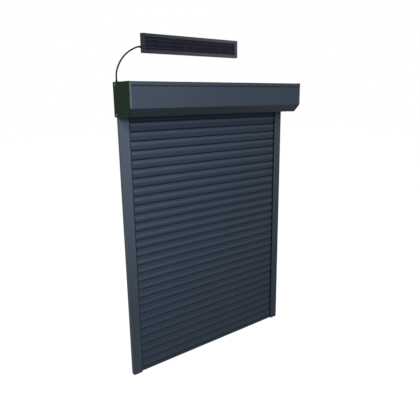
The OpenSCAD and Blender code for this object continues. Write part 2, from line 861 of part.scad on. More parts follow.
// Sprung clips under the rear shell that hold the battery tube
module battery_clips() {
    r = battery_d / 2 + fit;
    base_top = top_z - sheet_t - fit;
    mouth = battery_d * 0.35;
    color(black) for (x = [battery_x + battery_clip_in, battery_x + battery_len - battery_clip_in])
        along_x(x - battery_clip_w / 2, x + battery_clip_w / 2) difference() {
            union() {
                translate([battery_y, battery_z]) circle(r + battery_clip_t);
                rect(battery_y - r, battery_y + r, battery_z + r, base_top);
            }
            translate([battery_y, battery_z]) circle(r);
            rect(battery_y - mouth, battery_y + mouth, battery_z - 2 * r, battery_z);
        }
}

// Cable and panel
grommet_neck_r = 3.9;
grommet_flange_r = 5.5;

module cable_grommet() {
    under = top_z - sheet_t - fit;
    color(black) translate([grommet_x, grommet_y, 0]) rotate_extrude() polygon([
        [0, under - 3], [grommet_neck_r, under - 3], [grommet_flange_r - 0.5, under - 1.5],
        [grommet_flange_r - 0.5, under], [grommet_neck_r, under], [grommet_neck_r, top_z],
        [grommet_flange_r, top_z], [grommet_flange_r, top_z + 1.5], [cable_r + 1, grommet_top], [0, grommet_top]
    ]);
}

// Rings of a round cable along its route, square to the route at every point
function route_way(i) = let (n = len(cable_route) - 1)
    unit(cable_route[min(i + 1, n)] - cable_route[max(i - 1, 0)]);
function end_way(i) = i == 0 ? [0, 0, 1] : i == len(cable_route) - 1 ? [1, 0, 0] : route_way(i);
function cable_ring(i) = let (w = end_way(i), u = [0, 1, 0] - w * w.y, a = unit(u), b = cross(w, a))
    [for (k = [0:cable_sides - 1]) cable_route[i]
        + cable_r * (a * cos(360 * k / cable_sides) + b * sin(360 * k / cable_sides))];

module solar_cable() {
    n = len(cable_route);
    s = cable_sides;
    points = [for (i = [0:n - 1]) each cable_ring(i)];
    sides = [for (i = [0:n - 2], k = [0:s - 1])
        each [[i * s + k, (i + 1) * s + k, (i + 1) * s + (k + 1) % s],
              [i * s + k, (i + 1) * s + (k + 1) % s, i * s + (k + 1) % s]]];
    caps = [[for (k = [0:s - 1]) k], [for (k = [s - 1:-1:0]) (n - 1) * s + k]];
    color(black) polyhedron(points, concat(sides, caps));
}

function panel_loop(d) = [
    [panel_x0 + d, panel_z0 + d], [panel_x0 + panel_w - d, panel_z0 + d],
    [panel_x0 + panel_w - d, panel_z0 + panel_h - d], [panel_x0 + d, panel_z0 + panel_h - d]
];

module panel_frame() {
    pocket = floor_y - tray_floor;
    color("#3d4046") difference() {
        along_y(panel_front, panel_back) polygon(rounded_loop(panel_loop(0), panel_corner_r));
        along_y(panel_front - cut, pocket) polygon(panel_loop(panel_border));
        along_y(floor_y, panel_back + cut) polygon(panel_loop(tray_wall));
        rod_x(panel_x0 - cut, panel_x0 + tray_wall + cut, gland_r - 1 + fit, gland_y, gland_z);
    }
}

module panel_cells() {
    area = panel_w - 2 * panel_border - 2 * cell_gap;
    cell_w = (area - (cell_n - 1) * cell_gap) / cell_n;
    pocket = floor_y - tray_floor;
    x0 = panel_x0 + panel_border + cell_gap;
    z0 = panel_z0 + panel_border + cell_gap;
    color("#1b2036") along_y(pocket - cell_t, pocket) for (i = [0:cell_n - 1])
        rect(x0 + i * (cell_w + cell_gap), x0 + i * (cell_w + cell_gap) + cell_w,
             z0, z0 + panel_h - 2 * panel_border - 2 * cell_gap);
}

module panel_glass() {
    back = floor_y - tray_floor - cell_t;
    color("#2a3350") along_y(back - glass_t, back) polygon(panel_loop(panel_border + fit));
}

module panel_junction_box() {
    box_w = 40;
    box_half = 18;
    box_deep = 8;
    corner_r = 3;
    sleeve_r = gland_r - 0.8;
    x0 = panel_x0 + tray_wall + fit;
    nut_x = panel_x0 - gland_nut;
    color(black) union() {
        along_y(floor_y, floor_y + box_deep) polygon(rounded_loop([
            [x0, gland_z - box_half], [x0 + box_w, gland_z - box_half],
            [x0 + box_w, gland_z + box_half], [x0, gland_z + box_half]
        ], corner_r));
        rod_x(nut_x - cut, x0 + cut, gland_r - 1, gland_y, gland_z);
        rod_x(nut_x, panel_x0, gland_r, gland_y, gland_z, $fn = 6);
        translate([0, gland_y, gland_z]) rotate([0, 90, 0]) rotate_extrude() polygon([
            [0, nut_x + cut], [gland_r - 1, nut_x + cut], [gland_r - 1, nut_x], [sleeve_r, nut_x],
            [cable_r + 0.8, panel_x0 - gland_len], [0, panel_x0 - gland_len]
        ]);
    }
}

// Clips screwed to the wall that carry the panel by its tray
module panel_wall_clips() {
    clip_w = 30;
    base_t = 4;
    leg_t = 6;
    grip = panel_h - 2 * tray_wall - 2 * fit;
    legs = [panel_zc - grip / 2, panel_zc + grip / 2 - leg_t];
    color(black) for (x = [panel_shift - clip_pitch / 2, panel_shift + clip_pitch / 2]) difference() {
        union() {
            along_y(-base_t, 0) rect(x - clip_w / 2, x + clip_w / 2, panel_zc - grip / 2, panel_zc + grip / 2);
            along_y(floor_y, -base_t + cut) for (z = legs) rect(x - clip_w / 2, x + clip_w / 2, z, z + leg_t);
        }
        rod_y(-base_t - cut, cut, clip_hole_d / 2, x, panel_zc);
    }
}

box_rear_shell();
box_front_cover();
end_plate_left();
end_plate_right();
box_screws();
guide_rail_left();
guide_rail_right();
guide_pile_strips();
guide_entries();
guide_foot_caps();
guide_hole_caps();
motor_head();
motor_body();
idler_bearing();
battery_pack();
battery_clips();
cable_grommet();
solar_cable();
panel_frame();
panel_glass();
panel_cells();
panel_junction_box();
panel_wall_clips();
axle_tube();
drive_wheel();
motor_crown();
idler_plug();
bottom_bar();
bottom_seal();
slat_end_clips();
curtain_straps();
for (i = [1:slat_n]) slat(i);
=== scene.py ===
import math

import bpy
from mathutils import Matrix, Vector


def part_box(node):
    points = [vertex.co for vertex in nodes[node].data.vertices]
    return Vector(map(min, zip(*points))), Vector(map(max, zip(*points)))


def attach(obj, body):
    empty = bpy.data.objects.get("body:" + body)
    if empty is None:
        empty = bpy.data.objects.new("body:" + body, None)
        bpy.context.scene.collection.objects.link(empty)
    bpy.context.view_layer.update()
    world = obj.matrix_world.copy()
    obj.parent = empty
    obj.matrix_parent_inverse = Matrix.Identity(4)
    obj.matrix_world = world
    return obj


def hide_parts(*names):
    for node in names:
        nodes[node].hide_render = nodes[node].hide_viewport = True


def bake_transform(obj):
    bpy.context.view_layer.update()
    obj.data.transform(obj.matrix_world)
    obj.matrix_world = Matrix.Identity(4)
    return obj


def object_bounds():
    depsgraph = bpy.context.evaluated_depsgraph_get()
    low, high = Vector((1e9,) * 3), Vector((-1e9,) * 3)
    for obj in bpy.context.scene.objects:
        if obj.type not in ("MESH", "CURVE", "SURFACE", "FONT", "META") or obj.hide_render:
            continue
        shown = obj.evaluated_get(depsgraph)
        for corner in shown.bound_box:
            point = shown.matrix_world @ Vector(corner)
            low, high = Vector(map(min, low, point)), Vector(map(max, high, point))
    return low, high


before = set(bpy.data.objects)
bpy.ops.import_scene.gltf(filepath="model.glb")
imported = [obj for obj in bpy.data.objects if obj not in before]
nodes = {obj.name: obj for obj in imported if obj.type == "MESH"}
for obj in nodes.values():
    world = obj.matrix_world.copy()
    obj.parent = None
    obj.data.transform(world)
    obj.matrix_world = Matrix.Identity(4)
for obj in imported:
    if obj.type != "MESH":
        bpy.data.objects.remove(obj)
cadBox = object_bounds()
print("frame loaded,", len(nodes), "nodes")


def linked(name, data):  # a new object, put into the scene
    piece = bpy.data.objects.new(name, data)
    bpy.context.scene.collection.objects.link(piece)
    return piece


# camera, at the angle of the photograph
cameraSet = {
    "place": (-1.3044, -1.6904, 0.6538),
    "azimuth": -37.74,
    "elevation": 13.931,
    "roll": -0.712,
    "lens": 38.51,
    "sensor": 36,
    "clip": (0.05, 60),
}


def aimCamera(spec):
    data = bpy.data.cameras.new("shutterCamera")
    data.sensor_width = spec["sensor"]
    data.lens = spec["lens"]
    data.clip_start, data.clip_end = spec["clip"]
    camera = linked("shutterCamera", data)
    az, el, roll = (math.radians(spec[key]) for key in ("azimuth", "elevation", "roll"))
    back = Vector((math.sin(az) * math.cos(el), -math.cos(az) * math.cos(el), math.sin(el)))
    right = Vector((0, 0, 1)).cross(back).normalized()
    square = Matrix((right, back.cross(right), back)).transposed().to_4x4()
    camera.matrix_world = Matrix.Translation(spec["place"]) @ square @ Matrix.Rotation(roll, 4, "Z")
    bpy.context.scene.camera = camera


aimCamera(cameraSet)
print("camera set")


# selection and mesh helpers, in metres and degrees
meshSet = {"near": 0.00001, "merge": 0.000005, "facing": 0.9, "smooth": 35, "turnSteps": 32, "seed": 0.001}


def dropPick():
    if bpy.context.object and bpy.context.object.mode != "OBJECT":
        bpy.ops.object.mode_set(mode="OBJECT")
    bpy.ops.object.select_all(action="DESELECT")


def pickOnly(piece):
    dropPick()
    piece.select_set(True)
    bpy.context.view_layer.objects.active = piece


def pickWhere(piece, kind, test):  # into edit mode, with only what passes the test selected
    bpy.context.tool_settings.mesh_select_mode = [kind == each for each in ("vertices", "edges", "polygons")]
    bpy.ops.object.mode_set(mode="EDIT")
    bpy.ops.mesh.select_all(action="DESELECT")
    bpy.ops.object.mode_set(mode="OBJECT")
    for part in getattr(piece.data, kind):
        part.select = test(part)
    bpy.ops.object.mode_set(mode="EDIT")


def pickFaces(piece, test):
    pickWhere(piece, "polygons", test)


def pickEdges(piece, test):
    pickWhere(piece, "edges", lambda edge: test(*(piece.data.vertices[index].co for index in edge.vertices)))


def pickCorners(piece, test):
    pickWhere(piece, "vertices", lambda corner: test(corner.co))


def pickAll():
    bpy.ops.object.mode_set(mode="EDIT")
    bpy.ops.mesh.select_all(action="SELECT")


def pushOut(step):
    bpy.ops.mesh.extrude_region_move(TRANSFORM_OT_translate={"value": step})


def closeUp(piece):  # doubles merged, faces outwards, soft where the angle is small
    pickAll()
    bpy.ops.mesh.remove_doubles(threshold=meshSet["merge"])
    bpy.ops.mesh.normals_make_consistent(inside=False)
    pickOnly(piece)
    bpy.ops.object.shade_smooth_by_angle(angle=math.radians(meshSet["smooth"]))


def joinAll(pieces, name):
    dropPick()
    for piece in pieces:
        piece.select_set(True)
    bpy.context.view_layer.objects.active = pieces[0]
    bpy.ops.object.join()
    pieces[0].name = name
    return pieces[0]


def mergedCopy(nodeName, name):  # a node's loose triangles made one mesh, left in edit mode, all selected
    piece = linked(name, nodes[nodeName].data.copy())
    pickOnly(piece)
    pickAll()
    bpy.ops.mesh.remove_doubles(threshold=meshSet["near"])
    return piece


def dress(piece, material):
    piece.data.materials.clear()
    piece.data.materials.append(material)


# shader sums: a socket that takes part in plain Python expressions
class Wire:
    def __init__(self, tree, socket=None):
        self.tree = tree
        self.socket = socket

    def feed(self, target, inputs):  # a wire is linked to its socket, a plain value is set on it
        for key, value in inputs.items():
            if isinstance(value, Wire):
                self.tree.links.new(value.socket, target.inputs[key])
            else:
                target.inputs[key].default_value = value

    def node(self, kind, settings=None, inputs=None, out=0):
        made = self.tree.nodes.new(kind)
        for key, value in (settings or {}).items():
            setattr(made, key, value)
        self.feed(made, inputs or {})
        return Wire(self.tree, made.outputs[out])

    def sums(self, how, first, second=0.0):
        return self.node("ShaderNodeMath", {"operation": how}, {0: first, 1: second})

    def __add__(self, other):
        return self.sums("ADD", self, other)

    def __sub__(self, other):
        return self.sums("SUBTRACT", self, other)

    def __rsub__(self, other):
        return self.sums("SUBTRACT", other, self)

    def __mul__(self, other):
        return self.sums("MULTIPLY", self, other)

    __radd__ = __add__
    __rmul__ = __mul__

    def unsigned(self):
        return self.sums("ABSOLUTE", self)

    def orMore(self, other):
        return self.sums("MAXIMUM", self, other)

    def cycle(self, start, pitch):  # how far along its own repeat, 0 to 1
        return self.sums("FRACT", (self - start) * (1 / pitch))

    def swing(self, reach):  # noise is about a half, so this goes either side of nothing
        return (self - 0.5) * reach

    def ramp(self, start, stop):  # from 0 at start to 1 at stop
        return self.node("ShaderNodeMapRange", None, {"Value": self, "From Min": start, "From Max": stop})

    def split(self):
        apart = self.node("ShaderNodeSeparateXYZ", None, {"Vector": self}).socket.node
        return [Wire(self.tree, output) for output in apart.outputs]

    def noise(self, scale, detail):  # with three scales it is stretched along the axes
        if isinstance(scale, tuple):
            return self.node("ShaderNodeMapping", None, {"Vector": self, "Scale": scale}).noise(1.0, detail)
        return self.node("ShaderNodeTexNoise", None, {"Vector": self, "Scale": scale, "Detail": detail})

    def mix(self, first, second):  # of two colours, with this as the share of the second
        first, second = (tone if isinstance(tone, Wire) else (*tone, 1) for tone in (first, second))
        return self.node("ShaderNodeMix", {"data_type": "RGBA"}, {0: self, 6: first, 7: second}, out=2)

    def bump(self, strength, distance):
        return self.node("ShaderNodeBump", None, {"Height": self, "Strength": strength, "Distance": distance})


def newFinish(name, build, spec):
    material = bpy.data.materials.new(name)
    material.use_nodes = True
    tree = material.node_tree
    at = Wire(tree).node("ShaderNodeTexCoord", out="Object")
    at.feed(tree.nodes["Principled BSDF"], build(at, spec))
    return material


# what all the lacquers have: fine orange peel, slow clouds and faint upright rain marks in two tones
lacquer = {
    "peelScale": 1500, "peelDetail": 1.5, "peelDeep": 0.0004, "peelRough": 0.16,
    "cloudScale": 2.6, "rainScale": (38, 38, 1.3), "detail": 3.0, "cloudRough": 0.1,
    "cloudShare": 0.6, "mottle": (0.32, 0.68),
}


def lacquerNoise(at, spec):
    peel = at.noise(spec["peelScale"], spec["peelDetail"])
    cloud = at.noise(spec["cloudScale"], spec["detail"])
    rain = at.noise(spec["rainScale"], spec["detail"])
    return peel, cloud, rain


def mottled(cloud, rain, spec):
    share = cloud * spec["cloudShare"] + rain * (1 - spec["cloudShare"])
    return share.ramp(*spec["mottle"]).mix(spec["deep"], spec["pale"])


# powder coat and stove lacquer, with the painted light and shade that a piece's own values ask for
def coatFinish(at, spec):
    x, y, z = at.split()
    peel, cloud, rain = lacquerNoise(at, spec)
    tone = mottled(cloud, rain, spec)
    if "fade" in spec:  # painted light: paler towards one end
        tone = (x.ramp(*spec["fadeFrom"]) * spec["fade"]).mix(tone, spec["fadeTone"])
    if "film" in spec:  # painted shade on the down-facing chamfer in front, and painted shade along the seam of the front
        inFront = 1 - y.ramp(*spec["filmBack"])
        film = (1 - z.ramp(*spec["filmEdge"])) * inFront * spec["film"]
        tone = (film * (1 + cloud.swing(spec["filmUneven"]))).mix(tone, spec["filmTone"])
        caught = 1 - (z - spec["seamAt"]).unsigned().ramp(*spec["seamReach"])
        tone = (caught * inFront * spec["seam"]).mix(tone, spec["filmTone"])
    if "splash" in spec:  # painted shade: darker lower down, uneven with the rain noise
        splash = (1 - z.ramp(*spec["splashRise"])) * spec["splash"]
        tone = (splash * (1 + rain.swing(spec["splashUneven"]))).mix(tone, spec["splashTone"])
    return {
        "Base Color": tone,
        "Roughness": spec["rough"] + peel.swing(spec["peelRough"]) + cloud.swing(spec["cloudRough"]),
        "Specular IOR Level": spec["gloss"],
        "Normal": peel.bump(spec["peel"], spec["peelDeep"]),
    }


# slat lacquer: a painted highlight band on each slat, set lower on the slats lower down, and painted shade in
# the joints
def slatFinish(at, spec):
    x, _, z = at.split()
    peel, cloud, streak = lacquerNoise(at, spec)
    rise = z.cycle(spec["joint"], spec["pitch"])  # 0 at a slat's lower edge, 1 at its upper
    turn = z.ramp(*spec["bandTurn"])  # the painted highlight sits higher on the slats near the top
    off = (rise - (spec["bandLow"] + turn * spec["bandClimb"])).unsigned()
    sheen = (1 - off.ramp(0, spec["bandWide"])) * (1 + streak.swing(spec["bandUneven"]))
    sheen = sheen * (spec["bandFaint"] + z.ramp(*spec["bandFade"]) * (1 - spec["bandFaint"]))
    tone = sheen.mix(mottled(cloud, streak, spec), spec["bandTone"])
    # painted shade in the joints, stronger higher up
    seam = (1 - rise.ramp(*spec["grimeLow"])).orMore(rise.ramp(*spec["grimeHigh"]))
    seam = seam * (spec["grimeFaint"] + turn * (spec["grime"] - spec["grimeFaint"]))
    railShaded = x.unsigned().ramp(*spec["rubFrom"]) * spec["rub"]  # painted shadow beside the pile of the rails
    return {
        "Base Color": seam.orMore(railShaded).mix(tone, spec["grimeTone"]),
        "Roughness": spec["rough"] + peel.swing(spec["peelRough"]) + sheen * spec["bandRough"],
        "Specular IOR Level": spec["gloss"],
        "Normal": peel.bump(spec["peel"], spec["peelDeep"]),
    }


# end plates: green-black moulded side, paler coated edges with painted shade on the chamfer in front
def plateFinish(at, spec):
    x, y, z = at.split()
    peel = at.noise(spec["peelScale"], spec["peelDetail"])
    cloud = at.noise(spec["cloudScale"], spec["detail"])
    side = cloud.ramp(*spec["mottle"]).mix(spec["side"], spec["sidePale"])
    unshaded = z.ramp(*spec["filmEdge"]).orMore(y.ramp(*spec["filmBack"]))
    edge = unshaded.mix(spec["filmTone"], spec["edge"])
    return {
        "Base Color": x.unsigned().ramp(*spec["sideFrom"]).mix(edge, side),
        "Roughness": spec["rough"] + peel.swing(spec["peelRough"]),
        "Specular IOR Level": spec["gloss"],
        "Normal": peel.bump(spec["peel"], spec["peelDeep"]),
    }


# moulded plastic and rubber: spark-eroded grain
moulding = {"cloudScale": 9.0, "detail": 2.0, "mottle": (0.3, 0.7), "grainDeep": 0.0005, "grainRough": 0.2}


def mouldFinish(at, spec):
    grain = at.noise(spec["grainScale"], spec["detail"])
    cloud = at.noise(spec["cloudScale"], spec["detail"])
    return {
        "Base Color": cloud.ramp(*spec["mottle"]).mix(spec["deep"], spec["pale"]),
        "Roughness": spec["rough"] + grain.swing(spec["grainRough"]),
        "Specular IOR Level": spec["gloss"],
        "Normal": grain.bump(spec["grain"], spec["grainDeep"]),
    }


# zinc-plated steel: drawn lines along the piece and a cloudy passivation
def zincFinish(at, spec):
    lines = at.noise(spec["lineScale"], spec["lineDetail"])
    cloud = at.noise(spec["cloudScale"], spec["cloudDetail"])
    return {
        "Base Color": cloud.ramp(*spec["mottle"]).mix(spec["deep"], spec["pale"]),
        "Metallic": spec["metal"],
        "Roughness": spec["rough"] + lines.swing(spec["lineRough"]),
        "Normal": lines.bump(spec["line"], spec["lineDeep"]),
    }


# dark cells with fine grid fingers and paler busbars
def cellFinish(at, spec):
    x, _, z = at.split()
    finger = (x.cycle(0, spec["fingerPitch"]) - 0.5).unsigned()  # away from the middle of its pitch
    bar = (z.cycle(spec["barFrom"], spec["barPitch"]) - 0.5).unsigned()
    fingers = (1 - finger.ramp(*spec["fingerEdge"])) * spec["finger"]
    bars = (1 - bar.ramp(*spec["barEdge"])) * spec["bar"]
    cloud = at.noise(spec["cloudScale"], spec["detail"]).ramp(*spec["mottle"])
    return {
        "Base Color": fingers.orMore(bars).mix(cloud.mix(spec["deep"], spec["pale"]), spec["silver"]),
        "Roughness": spec["rough"] + cloud * spec["cloudRough"],
        "Specular IOR Level": spec["gloss"],
    }


# glass: patchy dust, and a painted sheen that grows towards one end
def glassFinish(at, spec):
    dust = at.noise(spec["dustScale"], spec["detail"]).ramp(*spec["dustEdge"])
    haze = at.split()[0].ramp(*spec["hazeFrom"])
    milky = haze * spec["hazeShare"] + dust * (1 - spec["hazeShare"])
    return {
        "Base Color": milky.mix(spec["clear"], spec["milky"]),
        "Roughness": spec["rough"] + dust * spec["dustRough"],
        "Specular IOR Level": spec["gloss"],
        "Alpha": spec["tint"] + haze * spec["haze"] + dust * spec["dust"],
    }


# woven pile: close upright tufts
def pileFinish(at, spec):
    tuft = at.noise(spec["tuftScale"], spec["detail"])
    return {
        "Base Color": tuft.mix(spec["deep"], spec["pale"]),
        "Roughness": spec["rough"] + tuft.swing(spec["tuftRough"]),
        "Specular IOR Level": spec["gloss"],
        "Normal": tuft.bump(spec["tuft"], spec["tuftDeep"]),
    }


# places on the object that the finishes and the new pieces follow
boxEnd = cadBox[1][0]
chamferTop = 0.6195  # where the box's front turns into its chamfer
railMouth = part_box("guide_rail_right")[0][0]
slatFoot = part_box("slat_29")[0][2]
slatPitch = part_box("slat_01")[0][2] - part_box("slat_02")[0][2]
panelLow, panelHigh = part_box("panel_frame")
cellLow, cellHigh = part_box("panel_cells")

boxCoat = newFinish("boxCoat", coatFinish, {
    **lacquer, "deep": (0.047, 0.063, 0.088), "pale": (0.054, 0.071, 0.097),
    # painted light: the box paler towards its right end
    "fade": 1.0, "fadeFrom": (0.05, boxEnd), "fadeTone": (0.059, 0.079, 0.107),
    # painted shade on the chamfer under the box's front
    "film": 0.78, "filmTone": (0.022, 0.028, 0.036), "filmUneven": 0.3,
    "filmEdge": (chamferTop - 0.001, chamferTop + 0.001), "filmBack": (-0.06, -0.04),
    # painted shade along the seam below the top lip
    "seam": 0.7, "seamAt": 0.7045, "seamReach": (0.0018, 0.0036),
    "peel": 0.06, "rough": 0.5, "gloss": 0.06})
railCoat = newFinish("railCoat", coatFinish, {
    **lacquer, "deep": (0.058, 0.076, 0.102), "pale": (0.068, 0.089, 0.118),
    # painted light: the rails paler towards the left
    "fade": 1.0, "fadeFrom": (boxEnd, -boxEnd), "fadeTone": (0.078, 0.101, 0.133),
    # painted shade: the rails darker towards the bottom
    "splash": 0.54, "splashRise": (-0.26, 0.48), "splashUneven": 0.4, "splashTone": (0.022, 0.032, 0.046),
    "peel": 0.10, "rough": 0.48, "gloss": 0.08})
slatCoat = newFinish("slatCoat", slatFinish, {
    **lacquer, "deep": (0.033, 0.048, 0.072), "pale": (0.037, 0.054, 0.079),
    "peelScale": 2100, "cloudScale": (1.4, 4, 9), "rainScale": (46, 46, 1.1),
    # painted highlight: a pale band on each slat, lower on the slats further down
    "joint": slatFoot, "pitch": slatPitch, "bandLow": 0.375, "bandClimb": 0.325, "bandTurn": (-0.08, 0.43),
    "bandTone": (0.064, 0.087, 0.119), "bandWide": 0.27, "bandUneven": 0.3,
    "bandFaint": 0.42, "bandFade": (-0.45, -0.1), "bandRough": 0.1,
    # painted shade in the joints and beside the rails
    "grime": 0.84, "grimeFaint": 0.36, "grimeTone": (0.005, 0.010, 0.018),
    "grimeLow": (0.02, 0.11), "grimeHigh": (0.905, 0.925),
    # painted shadow on the slat ends beside the rails
    "rub": 0.85, "rubFrom": (railMouth - 0.0075, railMouth - 0.0035),
    "peel": 0.07, "peelRough": 0.14, "rough": 0.46, "gloss": 0.06})
panelCoat = newFinish("panelCoat", coatFinish, {
    **lacquer, "deep": (0.025, 0.027, 0.033), "pale": (0.030, 0.032, 0.038), "peelScale": 2400,
    # painted light: the panel's frame paler towards its right end
    "fade": 0.9, "fadeFrom": (panelLow[0], panelHigh[0]), "fadeTone": (0.098, 0.098, 0.124),
    "peel": 0.05, "rough": 0.45, "gloss": 0.06})
motorLacquer = newFinish("motorLacquer", coatFinish, {
    **lacquer, "deep": (0.50, 0.50, 0.48), "pale": (0.57, 0.57, 0.55),
    "peel": 0.08, "rough": 0.4, "gloss": 0.4})
plateCoat = newFinish("plateCoat", plateFinish, {
    **lacquer, "side": (0.012, 0.026, 0.016), "sidePale": (0.015, 0.030, 0.019),
    "peelScale": 1300, "cloudScale": 5.0, "sideFrom": (boxEnd - 0.0003, boxEnd - 0.0001),
    "edge": (0.100, 0.128, 0.152), "filmTone": (0.020, 0.026, 0.032),
    # painted shade on the plate's edges at the chamfer
    "filmEdge": (chamferTop - 0.002, chamferTop + 0.002), "filmBack": (-0.06, -0.04),
    "peel": 0.12, "rough": 0.6, "gloss": 0.03})
blackPlastic = newFinish("blackPlastic", mouldFinish, {
    **moulding, "deep": (0.010, 0.010, 0.011), "pale": (0.014, 0.014, 0.015),
    "grainScale": 1100, "grain": 0.2, "rough": 0.6, "gloss": 0.2})
palePlastic = newFinish("palePlastic", mouldFinish, {
    **moulding, "deep": (0.55, 0.55, 0.52), "pale": (0.62, 0.62, 0.59),
    "grainScale": 900, "grain": 0.15, "rough": 0.5, "gloss": 0.4})
rubberSkin = newFinish("rubberSkin", mouldFinish, {
    **moulding, "deep": (0.009, 0.009, 0.010), "pale": (0.013, 0.013, 0.014),
    "grainScale": 700, "grain": 0.15, "rough": 0.72, "gloss": 0.15})
zincSteel = newFinish("zincSteel", zincFinish, {
    "deep": (0.42, 0.43, 0.45), "pale": (0.55, 0.56, 0.57),
    "cloudScale": 24.0, "cloudDetail": 3.0, "mottle": (0.3, 0.7),
    "lineScale": (6, 900, 900), "lineDetail": 2.0, "line": 0.08, "lineDeep": 0.0003, "lineRough": 0.25,
    "metal": 0.9, "rough": 0.38})
cellGlaze = newFinish("cellGlaze", cellFinish, {
    "deep": (0.010, 0.011, 0.022), "pale": (0.013, 0.014, 0.028), "silver": (0.10, 0.11, 0.14),
    "cloudScale": 14.0, "detail": 3.0, "mottle": (0.3, 0.7), "cloudRough": 0.1,
    "finger": 0.35, "fingerPitch": 0.0042, "fingerEdge": (0.03, 0.07),
    "bar": 0.5, "barFrom": cellLow[2], "barPitch": 0.0157, "barEdge": (0.03, 0.05),
    "rough": 0.35, "gloss": 0.05})
panelPane = newFinish("panelPane", glassFinish, {
    "clear": (0.010, 0.011, 0.016), "milky": (0.060, 0.064, 0.102), "tint": 0.08,
    # painted sheen: the glass paler towards its right end
    "haze": 0.27, "hazeFrom": (panelLow[0], panelHigh[0]), "hazeShare": 0.75,
    "dust": 0.05, "dustScale": 30.0, "detail": 4.0, "dustEdge": (0.45, 0.8), "dustRough": 0.15,
    "rough": 0.12, "gloss": 0.07})
pileCloth = newFinish("pileCloth", pileFinish, {
    "deep": (0.006, 0.006, 0.007), "pale": (0.016, 0.016, 0.018),
    "tuftScale": (900, 900, 700), "detail": 1.0, "tuft": 0.5, "tuftDeep": 0.0006, "tuftRough": 0.1,
    "rough": 0.9, "gloss": 0.1})
print("finishes made")

finishOf = {
    "box_rear_shell": boxCoat, "box_front_cover": boxCoat, "end_plate_left": plateCoat,
    "end_plate_right": plateCoat, "box_screws": zincSteel, "guide_rail_left": railCoat,
    "guide_rail_right": railCoat, "guide_pile_strips": pileCloth, "guide_entries": blackPlastic,
    "guide_foot_caps": blackPlastic, "guide_hole_caps": railCoat, "motor_head": palePlastic,
    "motor_body": motorLacquer, "idler_bearing": palePlastic, "battery_pack": blackPlastic,
    "battery_clips": blackPlastic, "cable_grommet": rubberSkin, "solar_cable": rubberSkin,
    "panel_frame": panelCoat, "panel_glass": panelPane, "panel_cells": cellGlaze,
    "panel_junction_box": blackPlastic, "panel_wall_clips": blackPlastic, "axle_tube": zincSteel,
    "drive_wheel": blackPlastic, "motor_crown": blackPlastic, "idler_plug": blackPlastic,
    "bottom_bar": slatCoat, "bottom_seal": rubberSkin, "slat_end_clips": blackPlastic,
    "curtain_straps": zincSteel,
}

for nodeName, piece in nodes.items():
    dress(piece, finishOf.get(nodeName, slatCoat))  # the slats aren't listed
print("nodes dressed")


# solar cable, from the box's grommet up to the panel's gland
cableSet = {
    "thick": 0.0065, "length": 0.184, "roundSteps": 5, "lineSteps": 8,
    "route": [
        (-0.4610, -0.0080, 0.7280), (-0.4610, -0.0080, 0.7339), (-0.4610, -0.0080, 0.7398),
        (-0.4604, -0.0080, 0.7522), (-0.4578, -0.0080, 0.7647), (-0.4533, -0.0080, 0.7765),
        (-0.4477, -0.0080, 0.7883), (-0.4410, -0.0082, 0.7994), (-0.4329, -0.0086, 0.8105),
        (-0.4230, -0.0092, 0.8217), (-0.4113, -0.0100, 0.8321), (-0.3980, -0.0110, 0.8416),
        (-0.3833, -0.0118, 0.8496), (-0.3694, -0.0120, 0.8556), (-0.3620, -0.0120, 0.8580),
        (-0.3545, -0.0120, 0.8590),
    ],
}


def layCable(spec):
    data = bpy.data.curves.new("solarLead", "CURVE")
    data.dimensions = "3D"
    data.bevel_depth = spec["thick"] / 2
    data.bevel_resolution = spec["roundSteps"]
    data.resolution_u = spec["lineSteps"]
    data.use_fill_caps = True
    line = data.splines.new("BEZIER")
    line.bezier_points.add(len(spec["route"]) - 1)
    for point, place in zip(line.bezier_points, spec["route"]):
        point.co = place
        point.handle_left_type = point.handle_right_type = "AUTO"
    lead = linked("solarLead", data)
    dress(lead, rubberSkin)
    return lead


solarLead = layCable(cableSet)
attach(solarLead, "frame")
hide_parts("solar_cable")
print("cable laid")


# moulded edges made round: a copy of a node, its flat faces made whole, its sharp front edges bevelled
softSet = {"flat": 0.6, "sharp": 40, "steps": 3, "plateWidth": 0.0007, "panelWidth": 0.0009}


def softCopy(nodeName, name, width, axis, front, spec):  # the front is a place along an axis
    piece = mergedCopy(nodeName, name)
    bpy.ops.mesh.dissolve_limited(angle_limit=math.radians(spec["flat"]))
    bpy.context.tool_settings.mesh_select_mode = (False, True, False)
    bpy.ops.mesh.select_all(action="DESELECT")
    bpy.ops.mesh.edges_select_sharp(sharpness=math.radians(spec["sharp"]))
    bpy.ops.object.mode_set(mode="OBJECT")
    for edge in piece.data.edges:
        offFront = [abs(piece.data.vertices[index].co[axis] - front) for index in edge.vertices]
        edge.select = edge.select and max(offFront) < meshSet["near"]
    bpy.ops.object.mode_set(mode="EDIT")
    bpy.ops.mesh.bevel(offset=width, segments=spec["steps"], affect="EDGES")
    bpy.ops.object.mode_set(mode="OBJECT")
    bpy.ops.object.shade_smooth_by_angle(angle=math.radians(meshSet["smooth"]))
    bpy.ops.object.modifier_add(type="WEIGHTED_NORMAL")  # the large faces stay flat up to the bevel
    piece.modifiers[-1].keep_sharp = True
    bpy.ops.object.modifier_apply(modifier=piece.modifiers[-1].name)
    dress(piece, finishOf[nodeName])
    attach(piece, "frame")
    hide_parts(nodeName)
    return piece


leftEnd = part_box("end_plate_left")[0][0]
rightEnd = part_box("end_plate_right")[1][0]
endPlateLeft = softCopy("end_plate_left", "endPlateLeft", softSet["plateWidth"], 0, leftEnd, softSet)
endPlateRight = softCopy("end_plate_right", "endPlateRight", softSet["plateWidth"], 0, rightEnd, softSet)
panelRim = softCopy("panel_frame", "panelRim", softSet["panelWidth"], 1, panelLow[1], softSet)
print("edges softened")


# sprung straps: a copy cut across at even heights between the tube and the top slat
strapSet = {
    "cuts": 14, "low": 0.614, "high": 0.661,
    "start": (0, -0.0476, 0.660), "end": (0, -0.0092, 0.616),
}


